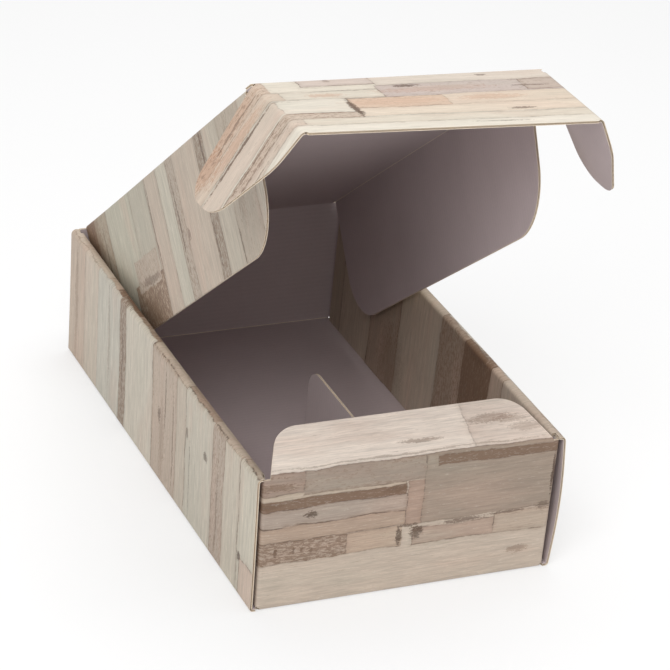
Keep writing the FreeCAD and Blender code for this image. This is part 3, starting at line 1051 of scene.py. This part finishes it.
# %% Lid
lid_step = lid_at(317.5 * MM)
lid_half_outline = [(lid_side, back[1].start), (lid_side, lid_step), (front_half, lid_step + 2.8 * MM),
                    (front_half, back[2].start)]
lid_outline = lid_half_outline + [(-x, y) for x, y in lid_half_outline[::-1]]
lid_flat = flat_board(lid_outline, lid_folds)

twist = 3.4 * MM            # the lid's front edge is higher on the left and lower on the right by this
twist_tip = 1.5 * MM        # more of the same at the free edge of the tuck flap
lid_out = Vector((0, lid_forward.z, -lid_forward.y))


def relax_lid(points, flat):
    """The open lid twists: its left side rises and its right side drops, more so towards the front."""
    moved = points.copy()
    along = np.clip((points - np.array(lid_hinge)) @ np.array(lid_forward) / lid_length, 0, 1.2)
    beyond = np.clip((flat[:, 1] - tuck_start) / tuck_depth, 0, 1)
    amount = twist * smooth_step(along) + twist_tip * beyond
    moved[:, 2] -= amount * np.clip(points[:, 0] / front_half, -1.1, 1.1)
    return moved


def carried(name, panel, start, end, node, settle=relax_lid):
    """A panel made into one piece where it lies, with the frame's own part for it hidden."""
    piece = make_piece(name, [panel], settle)
    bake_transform(piece)
    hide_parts(node)
    return piece


X = Vector((1, 0, 0))
Z = Vector((0, 0, 1))
wall_margin, flap_margin = 0.3 * MM, 0.2 * MM       # how far a reach goes past its crease
reach = back[1].tangent() + wall_margin
carried("lid_sheet", (lid_flat, lid_folds, lid_print_and_shade), lid_hinge - Z * reach,
        lid_hinge + lid_forward * reach, "lid")

# %% [markdown]
# ### The dust flaps
#
# A deep flap hangs from each side of the lid and goes down inside the side wall. Its free corners are
# round, so that they don't catch. Left and right have the same outline, mirrored, so a loop makes them.

# %% Dust flaps
dust_names = {-1: "left_dust_flap", 1: "right_dust_flap"}
dust_rear, dust_front = lid_at(2.5 * MM), lid_at(316 * MM)
for side in (-1, 1):
    outline = [(lid_side, dust_rear), (lid_side, dust_front), (dust_end, dust_front - 7 * MM, 38 * MM),
               (dust_end, dust_rear + 9 * MM, 36 * MM)]
    outline = [(side * corner[0],) + corner[1:] for corner in outline]
    folds = [dust_crease[side]] + lid_folds
    flat = flat_board(outline, folds)
    corner = lid_hinge + X * side * dust_corner
    down = -lid_out * math.cos(dust_tilt) - X * side * math.sin(dust_tilt)
    reach = dust_reach + flap_margin
    carried(dust_names[side] + "_sheet", (flat, folds, lid_print_and_shade),
            corner - X * side * reach, corner + down * reach, dust_names[side])

# %% [markdown]
# ### The tuck flap and its ears
#
# When the box is shut, the tuck flap lies in front of the front wall, and its two ears go into the slots in
# the side walls, which keeps the lid down. Flaps folded by hand never stand quite alike, so each ear has
# its own angle, and a softer crease than the long ones.

# %% Tuck flap and its ears
tuck_end = tuck_start + tuck_depth
tuck_side = {side: ear_crease[side].start for side in (-1, 1)}
tuck_outline = [(tuck_side[1], back[2].start), (tuck_side[1], tuck_end, 1.5 * MM),
                (-tuck_side[-1], tuck_end, 1.5 * MM), (-tuck_side[-1], back[2].start)]
tuck_flat = flat_board(tuck_outline, tuck_folds)
reach = back[2].tangent() + wall_margin
carried("tuck_flap_sheet", (tuck_flat, tuck_folds, tuck_print),
        tuck_hinge - lid_forward * reach, tuck_hinge + tuck_down * reach, "tuck_flap")

tuck_out = Vector((0, tuck_down.z, -tuck_down.y))
ear_rear, ear_front = tuck_start + 2.5 * MM, tuck_start + 74.5 * MM
ear_notch = {-1: 0.0, 1: 2.2 * MM}      # the twist brings the lid's right corner closer to its ear
shoulder_depth, shoulder_slant, tip_width = 24 * MM, 4 * MM, 35 * MM
for side in (-1, 1):
    node = {-1: "left_ear", 1: "right_ear"}[side]
    tip = ear_rear + 5 * MM
    ear_end = ear_crease[side].end + ear_depth - ear_crease[side].tangent()
    outline = [(tuck_side[side], ear_rear + ear_notch[side]), (tuck_side[side], ear_front),
               (ear_end - (ear_depth - shoulder_depth), ear_front - shoulder_slant, 40 * MM),
               (ear_end, tip + tip_width, 22 * MM), (ear_end, tip, 17 * MM)]
    outline = [(side * corner[0],) + corner[1:] for corner in outline]
    folds = [ear_crease[side]] + tuck_folds
    flat = flat_board(outline, folds)
    corner = tuck_hinge + X * side * front_half
    down = X * side * math.cos(ear_fold[side]) - tuck_out * math.sin(ear_fold[side])
    reach = ear_crease[side].tangent() + flap_margin
    carried(node + "_sheet", (flat, folds, tuck_print), corner - X * side * reach,
            corner + down * reach, node)

# %% [markdown]
# ### The front lip
#
# The lip is pressed down over what lies in the box. When nothing holds it, it springs up and slopes back
# over the tray. It is printed with the front wall's planks, which run on over the crease.

# %% Front lip
lip_fit, lip_depth = 1.0 * MM, 33 * MM
lip_half = half_width - rolled_width - lip_fit
lip_end = front[1].corner() + lip_depth
lip_slant, lip_corner = 13.5 * MM, 17 * MM
lip_outline = [(lip_half, -front[1].start), (lip_half - lip_slant, -lip_end, lip_corner),
               (lip_slant - lip_half, -lip_end, lip_corner), (-lip_half, -front[1].start)]
lip_folds = [front[1], front[0]]
lip_flat = flat_board(lip_outline, lip_folds)
reach = front[1].tangent() + wall_margin
lip_back = Vector((0, math.cos(lip_rise), math.sin(lip_rise)))
carried("front_lip_sheet", (lip_flat, lip_folds, front_print), lip_hinge - Z * reach,
        lip_hinge + lip_back * reach, "front_lip", settle=relax_tray)
sheet_width, sheet_length = 2 * (inner_end + tab_drop), tuck_end + lip_end
print("the whole flat sheet is", round(sheet_width / MM), "by", round(sheet_length / MM), "mm")

# %% [markdown]
# ## The divider card
#
# A separate card keeps two bottles apart. It is plain on both sides and folded once, into an upright and a
# foot that lies on the floor. It takes its place and size from its own node in the frame.

# %% Divider
card_low, card_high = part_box("bottle_divider")
card_fold = Crease(-sharp, (1, 0), quarter, sharp)
card_top = card_fold.end + (card_high.z - card_low.z) - board / 2 - sharp
card_outline = [(card_low.x, card_low.y, 8 * MM), (card_top, card_low.y), (card_top, card_high.y, 14 * MM),
                (card_low.x, card_high.y, 8 * MM)]
card_flat = flat_board(card_outline, [card_fold])
divider = make_piece("divider_card", [(card_flat, [card_fold], plain_liner)], rise=card_low.z + board / 2)
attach(divider, "tray")
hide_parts("bottle_divider")

# %% [markdown]
# ## Camera, light and floor
#
# The camera is placed so that the tray's nearest bottom corner lands on the same pixel as in the picture,
# with the direction, tilt and lens that a fit to the box's corners gave. Two large square lamps and a white
# sky light the box about evenly, so a colour looks much as it is written. The floor is white paper that
# keeps a soft shadow.

# %% Camera
view_azimuth, view_elevation, view_roll = -25.127, 27.409, 5.167
focal_pixels, picture = 3065.2, 670
corner_pixel = (249.466, 612.365)       # where the tray's front left bottom corner lands
distance = 9.18 * 190 * MM              # from the same fit, in widths of the box


def camera_axes(azimuth, elevation, roll):
    """The camera's right, up and ahead, from angles in degrees."""
    a, e, r = (math.radians(x) for x in (azimuth, elevation, roll))
    ahead = Vector((-math.sin(a) * math.cos(e), math.cos(a) * math.cos(e), -math.sin(e)))
    right = ahead.cross(Z).normalized()
    up = right.cross(ahead)
    return right * math.cos(r) + up * math.sin(r), up * math.cos(r) - right * math.sin(r), ahead


def place_camera():
    right, up, ahead = camera_axes(view_azimuth, view_elevation, view_roll)
    across = (corner_pixel[0] - picture / 2) / focal_pixels * distance
    upward = (picture / 2 - corner_pixel[1]) / focal_pixels * distance
    corner = Vector((-half_width, -half_length, 0))
    data = bpy.data.cameras.new("camera")
    data.lens = focal_pixels / picture * data.sensor_width
    data.clip_start, data.clip_end = 0.05, 50
    camera = bpy.data.objects.new("camera", data)
    bpy.context.scene.collection.objects.link(camera)
    camera.location = corner - (right * across + up * upward + ahead * distance)
    camera.rotation_euler = Matrix((right, up, -ahead)).transposed().to_euler()
    bpy.context.scene.camera = camera
    return camera


camera = place_camera()

# %% Light
def soft_lamp(name, place, aim, size, power):
    data = bpy.data.lights.new(name, "AREA")
    data.shape = "SQUARE"
    data.size = size
    data.energy = power
    lamp = bpy.data.objects.new(name, data)
    bpy.context.scene.collection.objects.link(lamp)
    lamp.location = place
    lamp.rotation_euler = (Vector(aim) - Vector(place)).to_track_quat("-Z", "Y").to_euler()
    return lamp


soft_lamp("key", (-1.0, -1.2, 1.6), (0, 0, 0.1), 1.2, 22)
soft_lamp("top", (0.3, 0.1, 1.9), (0, 0, 0.1), 1.2, 15)
world = bpy.data.worlds.new("studio")
bpy.context.scene.world = world
world.use_nodes = True
sky = world.node_tree.nodes["Background"]
sky.inputs["Color"].default_value = (1, 1, 1, 1)
sky.inputs["Strength"].default_value = 0.55
print("two lamps and a white sky of strength", sky.inputs["Strength"].default_value)


# %% Floor
def floor_paper():
    """White paper that the camera sees a little brighter than it is, so that only a soft shadow is left."""
    work = Painter("floor_white")
    camera_ray, glossy_ray, clear_ray = (work.node("LightPath", out=f"Is {kind} Ray")
                                         for kind in ("Camera", "Glossy", "Transmission"))
    seen = (camera_ray + glossy_ray + clear_ray).held()
    glow = work.node("Emission", {}, {"Color": 1.0, "Strength": 1.0})
    mixed = work.node("MixShader", {}, {0: seen * 0.5, 1: Shade(work, work.shader.outputs[0]), 2: glow})
    work.tree.links.new(mixed.socket, work.tree.nodes["Material Output"].inputs["Surface"])
    return work.finish((0.9, 0.9, 0.9), 0.7)


floor_half = 6.0
floor_mesh = bpy.data.meshes.new("floor")
floor_corners = [(x * floor_half, y * floor_half, 0) for x, y in ((-1, -1), (1, -1), (1, 1), (-1, 1))]
floor_mesh.from_pydata(floor_corners, [], [(0, 1, 2, 3)])
floor = bpy.data.objects.new("floor", floor_mesh)
bpy.context.scene.collection.objects.link(floor)
floor.location.z = -0.2 * MM        # just under the box, so that the two don't flicker
floor_mesh.materials.append(floor_paper())

bpy.context.scene.view_settings.view_transform = "Standard"
